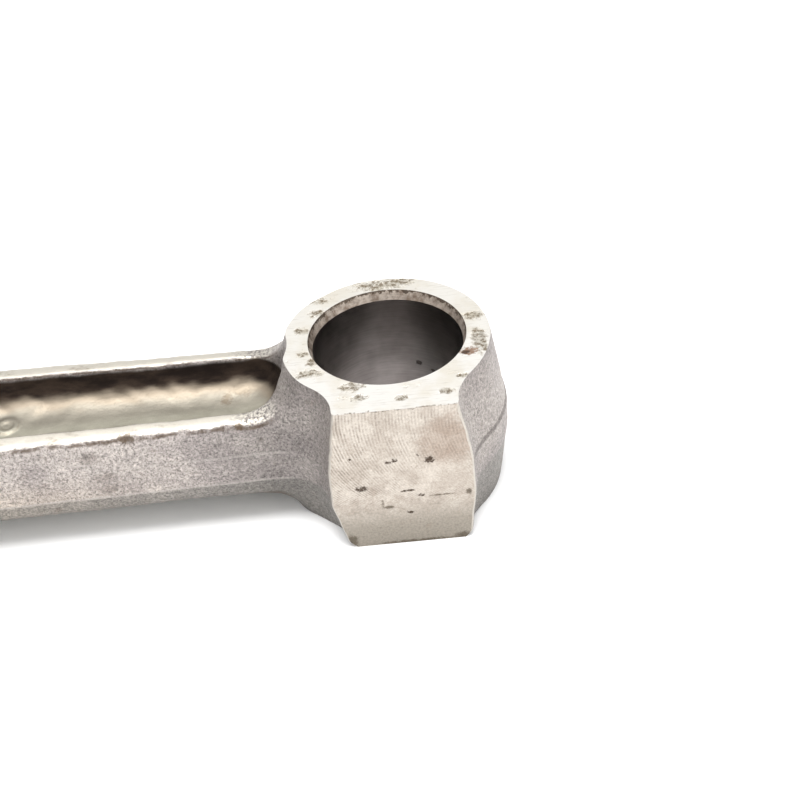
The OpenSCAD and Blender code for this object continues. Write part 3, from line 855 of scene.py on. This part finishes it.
def honed_bore():
    """Dark honed bore with fine lines round it, painted shade on its wall towards +x, and a few black
    pits.
    """
    f = Finish("honed_bore")
    lines = f.noise(0.20, 3.0, 0.65, (0.05, 0.05, 1.0))
    clouds = f.noise(5.0, 3.0, 0.5)
    colour = f.mix(f.step(clouds, 0.3, 0.7), (0.18, 0.16, 0.153), (0.265, 0.24, 0.23))
    # painted shade: the bore wall towards +x is darkened to stand in for shade
    side = f.step(f.x, 1.0, 6.5)
    colour = f.mix(f.mul(f.mul(side, f.step(f.x, 30.0, 20.0)), 0.62), colour,
                   (0.05, 0.05, 0.046))
    colour = f.times(colour, f.add(0.72, f.mul(lines, 0.56)))
    pits = f.spots(f.x, f.z, [(4.0, -0.6, 0.9, 0.8), (5.9, -1.4, 0.6, 0.5)], 0.9, 0.4)
    pits = f.larger(pits, f.step(f.noise(0.9, 4.0, 0.65), 0.70, 0.76))
    colour = f.mix(f.mul(pits, 0.8), colour, (0.02, 0.015, 0.012))
    rough = f.add(0.24, f.mul(clouds, 0.14))
    height = f.sub(f.mul(lines, 0.006), f.mul(pits, 0.03))
    return f.done(colour, rough, height)


def turned_chamfer():
    """Rough-turned chamfer, browned."""
    f = Finish("turned_chamfer")
    lines = f.noise(0.3, 3.0, 0.6, (0.15, 0.15, 1.0))
    patch = f.noise(1.2, 5.0, 0.7)
    colour = f.mix(f.step(patch, 0.38, 0.66), (0.66, 0.58, 0.505), (0.32, 0.25, 0.20))
    away = f.add(f.mul(f.x, f.x), f.mul(f.y, f.y))
    away = f.mul_add(f.sub(f.noise(0.8, 4.0, 0.75), 0.5), 1.0, f.calc("SQRT", away))
    rim = f.mul(f.step(away, PIN_R + 0.34, PIN_R + 0.44), f.step(away, PIN_R + 3.0, PIN_R + 2.0))
    colour = f.mix(f.mul(rim, 0.85), colour, (0.09, 0.065, 0.045))
    colour = f.times(colour, f.add(0.6, f.mul(lines, 0.8)))
    return f.done(colour, 0.5, f.mul(patch, 0.05))


def phosphate(name, tone):
    """Dark phosphate of bolts and nuts, rubbed grey in places."""
    f = Finish(name)
    grain = f.noise(0.25, 3.0, 0.7)
    rubbed = f.step(f.noise(2.4, 5.0, 0.7), 0.42, 0.78)
    colour = f.mix(f.mul(rubbed, 0.4), tone, (0.20, 0.19, 0.185))
    colour = f.times(colour, f.add(0.8, f.mul(grain, 0.4)))
    rough = f.blend(rubbed, 0.55, 0.36)
    return f.done(colour, rough, f.mul(grain, 0.02), metallic=0.8)


def bearing_metal():
    """Fine-turned bearing lining."""
    f = Finish("bearing_metal")
    lines = f.noise(0.18, 2.0, 0.6, (0.04, 0.04, 1.0))
    clouds = f.noise(7.0, 3.0, 0.5)
    colour = f.mix(f.step(clouds, 0.35, 0.7), (0.66, 0.65, 0.63), (0.52, 0.50, 0.48))
    colour = f.times(colour, f.add(0.85, f.mul(lines, 0.3)))
    return f.done(colour, 0.3, f.mul(lines, 0.006))


# ---------------------------------------------------------------- pieces

def rod_forging(materials):
    """Rod with its bores, seats and faces machined."""
    rod = forge("rod_forging", rod_field, (BIG_X - 1.4, -REACH_Y, -REACH_Z), (17.2, REACH_Y, REACH_Z),
                ROD_STEP, ROD_SEED, channel_lumps)
    tools = face_tools() + flat_tools() + joint_edges()
    tools += [block("joint", (-170, -60, -30), (BIG_X, 60, 30)),
              block("pad", (-25, -40, -30), (25, PAD_CUT_Y, 30)),
              bore_tool("pin_bore", PIN_R, 0, HALF_WIDTH, 1.35, 0.5),
              bore_tool("housing_bore", HOUSING_R, BIG_X, HALF_WIDTH, 0.6, 0.6),
              tang_notch(-3, 1),
              drill("oil", 0.8, (BIG_X, 0, 0), OIL_AXIS, 40, 24)]
    for side in (-1, 1):
        tools += [drill("hole", BOLT_R, (BIG_X - 1, side * BOLT_Y, 0), (1, 0, 0), 22),
                  head_seat(side)]
    combine(rod, tools)
    finish_faces(rod, materials, sort_rod_faces)
    return rod


def cap_forging(materials):
    """Cap with its bore, seats and faces machined."""
    cap = forge("cap_forging", cap_field, (CAP_END_X - 3.0, -REACH_Y, -REACH_Z),
                (BIG_X + 1.4, REACH_Y, REACH_Z), CAP_STEP, CAP_SEED)
    tools = face_tools() + flat_tools() + joint_edges()
    tools += [block("joint", (BIG_X, -60, -30), (-80, 60, 30)),
              block("weight", (-170, -20, -30), (CAP_END_X, 20, 30)),
              bore_tool("housing_bore", HOUSING_R, BIG_X, HALF_WIDTH, 0.6, 0.6),
              tang_notch(3, -1)]
    for side in (-1, 1):
        tools += [drill("hole", BOLT_R + CLEARANCE, (BIG_X + 1, side * BOLT_Y, 0), (-1, 0, 0), 22),
                  drill("seat", NUT_SEAT_R, (NUT_SEAT_X, side * BOLT_Y, 0), (-1, 0, 0), 20, 64)]
    combine(cap, tools)
    finish_faces(cap, materials, sort_rod_faces)
    return cap


def turned_surface(name, centre, axis_sign, heights, radius_at, steps):
    """Solid of revolution along X whose radius may change with height and angle, for threads."""
    angles = np.arange(steps) * 2 * math.pi / steps
    h, a = np.meshgrid(heights, angles, indexing="ij")
    r = radius_at(h, a)
    points = np.stack([centre[0] + axis_sign * h, centre[1] + r * np.cos(a),
                       centre[2] + r * np.sin(a) * axis_sign], -1).reshape(-1, 3)
    faces = []
    for i in range(len(heights) - 1):
        for j in range(steps):
            k = (j + 1) % steps
            faces.append((i * steps + j, i * steps + k, (i + 1) * steps + k, (i + 1) * steps + j))
    faces.append(tuple(range(steps))[::-1])
    faces.append(tuple((len(heights) - 1) * steps + j for j in range(steps)))
    return new_object(name, points, faces)


def cap_bolt(name, side, material):
    """Bolt with a D-shaped head, two fitting bands and a rolled thread."""
    length = HEAD_SEAT_X - BOLT_END_X
    joint = HEAD_SEAT_X - BIG_X
    thread_from = joint + 13.0
    stations = [(-HEAD_HEIGHT, HEAD_R - 0.7), (-5.4, HEAD_R - 0.35), (-5.0, HEAD_R - 0.05), (-4.8, HEAD_R),
                (-0.45, HEAD_R), (-0.2, HEAD_R - 0.1), (0.0, HEAD_R - 0.4), (0.001, BOLT_R),
                (9.0, BOLT_R), (9.6, WAIST_R), (joint - 4.6, WAIST_R), (joint - 4.0, BOLT_R),
                (joint + 6.0, BOLT_R), (joint + 6.6, WAIST_R), (thread_from - 0.6, WAIST_R),
                (thread_from, WAIST_R)]
    turns = np.arange(thread_from + 0.1, length - 0.02, 0.1)
    heights = np.concatenate([[h for h, _ in stations], turns, [length]])

    def radius_at(h, a):
        """Bolt radius at height h below the head seat and angle a round the axis."""
        plain = np.interp(h, *zip(*stations))
        wave = np.abs(((h - a / (2 * math.pi)) % 1.0) - 0.5) * 2
        start = np.clip((h - thread_from) / 0.8, 0, 1)
        thread = 3.93 + 0.55 * np.clip(wave * 1.25 - 0.1, 0, 1) * start
        thread = np.minimum(thread, BOLT_R - 0.02 - np.clip(h - length + 1.0, 0, 1))
        r = np.where(h > thread_from, thread, plain)
        flat = HEAD_FLAT - 0.12
        inward = -np.cos(a) * side
        limit = np.where(inward > 1e-3, flat / np.maximum(inward, 1e-3), 99.0)
        return np.where(h <= 0.0, np.minimum(r, limit), r)

    bolt = turned_surface(name, (HEAD_SEAT_X, side * BOLT_Y, 0), -1, heights, radius_at, 60)
    finish_faces(bolt, [material], one_finish, smooth_slot=-1)
    return bolt


def cap_nut(name, side, material):
    """Hexagon nut, chamfered on both faces and countersunk at its bore."""
    height = NUT_SEAT_X - NUT_END_X
    corner = 7 / math.cos(math.pi / 6)
    hexagon = lathe(name, [(0, 0), (corner, 0), (corner, height), (0, height)],
                    (NUT_SEAT_X, side * BOLT_Y, 0), (-1, 0, 0), 6)
    cone = lathe("cone", [(0, 0), (6.7, 0), (corner + 0.15, 0.8), (corner + 0.15, height - 0.8),
                          (6.7, height), (0, height)], (NUT_SEAT_X, side * BOLT_Y, 0), (-1, 0, 0), 96)
    combine(hexagon, [cone], "INTERSECT")
    r = BOLT_R + CLEARANCE
    bore = lathe("bore", [(0, -1), (r + 1.6, -1), (r, 0.6), (r, height - 0.6), (r + 1.6, height + 1),
                          (0, height + 1)], (NUT_SEAT_X, side * BOLT_Y, 0), (-1, 0, 0), 64)
    combine(hexagon, [bore])
    finish_faces(hexagon, [material], one_finish, smooth_slot=-1)
    return hexagon


def bearing_shell(name, toward, tang_z, material):
    """Half shell whose tang is pressed out of one end, with chamfered edges."""
    outer, inner, half = HOUSING_R - 0.03, SHELL_R, SHELL_HALF
    across = np.concatenate([[-half, -half + 0.25], np.linspace(-half + 1, half - 1, 66),
                             [half - 0.25, half]])
    inner_edge = np.interp(np.abs(across), [half - 0.25, half], [0, 0.25])
    outer_edge = np.interp(np.abs(across), [half - 0.25, half], [0, 0.2])
    z = np.concatenate([across, across[::-1]])
    r = np.concatenate([inner + inner_edge, (outer - outer_edge)[::-1]])
    steps = 180
    angles = np.linspace(-math.pi / 2, math.pi / 2, steps + 1)
    angles = np.concatenate([angles[:-14], np.linspace(angles[-14], angles[-1], 40)])
    points = []
    for a in angles:
        arc = (math.pi / 2 - a) * outer
        lift = 0.8 * np.clip((3.4 - arc) / 2.2, 0, 1) * np.clip((2.0 - np.abs(z - tang_z)) / 0.3, 0, 1)
        rr = r + lift
        points.append(np.stack([BIG_X + toward * rr * math.cos(a), rr * math.sin(a), z], -1))
    ring = len(z)
    faces = []
    for i in range(len(angles) - 1):
        for j in range(ring):
            k = (j + 1) % ring
            quad = (i * ring + j, i * ring + k, (i + 1) * ring + k, (i + 1) * ring + j)
            faces.append(quad if toward < 0 else quad[::-1])
    n = len(across)
    last = (len(angles) - 1) * ring
    for j in range(n - 1):
        cap = (j, j + 1, ring - 2 - j, ring - 1 - j)
        end = tuple(last + c for c in cap)
        faces.append(cap[::-1] if toward < 0 else cap)
        faces.append(end if toward < 0 else end[::-1])
    shell = new_object(name, np.concatenate(points), faces)
    if toward > 0:
        combine(shell, [drill("oil", 1.2, (BIG_X, 0, 0), OIL_AXIS, 40, 24)])
    finish_faces(shell, [material], one_finish, smooth_slot=-1)
    return shell


# ---------------------------------------------------------------- assembly

steel = [blasted_skin(), ground_face(), milled_pad(), honed_bore(), turned_chamfer()]
bolt_finish = phosphate("bolt_phosphate", (0.055, 0.052, 0.05))
nut_finish = phosphate("nut_phosphate", (0.075, 0.07, 0.066))
lining = bearing_metal()

pieces = [
    (rod_forging(steel), "rod_body", "rod", "forged_steel"),
    (cap_forging(steel), "big_end_cap", "cap", "forged_steel"),
    (cap_bolt("bolt_a", 1, bolt_finish), "cap_bolt_a", "rod", "bolt_steel"),
    (cap_bolt("bolt_b", -1, bolt_finish), "cap_bolt_b", "rod", "bolt_steel"),
    (cap_nut("nut_a", 1, nut_finish), "cap_nut_a", "nut_a", "nut_steel"),
    (cap_nut("nut_b", -1, nut_finish), "cap_nut_b", "nut_b", "nut_steel"),
    (bearing_shell("shell_upper", 1, -3, lining), "upper_bearing_shell", "upper_shell", "bearing_metal"),
    (bearing_shell("shell_lower", -1, 3, lining), "lower_bearing_shell", "lower_shell", "bearing_metal"),
]
for piece, node, body, slot in pieces:
    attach(piece, body)
    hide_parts(node)


# ---------------------------------------------------------------- studio

def floor_material():
    """White paper."""
    f = Finish("paper")
    soft = f.noise(40.0, 2.0)
    colour = f.mix(soft, (0.90, 0.90, 0.90), (0.93, 0.93, 0.93))
    return f.done(colour, 0.9, f.mul(f.noise(1.5, 2.0), 0.01), metallic=0.0)


def studio():
    """White paper floor, white surroundings and soft lamps."""
    corners = [(x * 3000, y * 3000, -HALF_WIDTH) for x, y in ((-1, -1), (1, -1), (1, 1), (-1, 1))]
    floor = new_object("floor", corners, [(0, 1, 2, 3)])
    floor.data.materials.append(floor_material())
    world = bpy.data.worlds.new("studio")
    world.use_nodes = True
    world.node_tree.nodes["Background"].inputs["Color"].default_value = (1.0, 1.0, 1.0, 1.0)
    world.node_tree.nodes["Background"].inputs["Strength"].default_value = 1.1
    bpy.context.scene.world = world
    for name, place, size, power in (("key", (-0.02, -0.06, 0.8), 0.4, 8.0),
                                     ("right", (0.75, -0.45, 0.35), 0.5, 0.9)):
        lamp = bpy.data.lights.new(name, "AREA")
        lamp.size = size
        lamp.energy = power
        obj = bpy.data.objects.new(name, lamp)
        obj.location = place
        obj.rotation_euler = (-Vector(place)).to_track_quat("-Z", "Y").to_euler()
        bpy.context.scene.collection.objects.link(obj)


def camera():
    """Camera at the photograph's viewing angle, close over the small end."""
    azimuth, elevation, roll = (math.radians(a) for a in (0.627, 38.713, -5.905))
    distance, target = 199.43 * MM, Vector((0.854, 0.364, 0.0)) * MM
    back = Vector((math.sin(azimuth) * math.cos(elevation), -math.cos(azimuth) * math.cos(elevation),
                   math.sin(elevation)))
    right = Vector((math.cos(azimuth), math.sin(azimuth), 0.0))
    up = back.cross(right)
    level = Matrix((right, up, back)).transposed()
    data = bpy.data.cameras.new("camera")
    data.sensor_width = 36.0
    data.lens = 65.68
    data.clip_start = 0.01
    obj = bpy.data.objects.new("camera", data)
    turn = level @ Matrix.Rotation(roll, 3, "Z")
    obj.matrix_world = Matrix.Translation(target + back * distance) @ turn.to_4x4()
    bpy.context.scene.collection.objects.link(obj)
    bpy.context.scene.camera = obj


studio()
camera()
bpy.context.scene.view_settings.view_transform = "Standard"
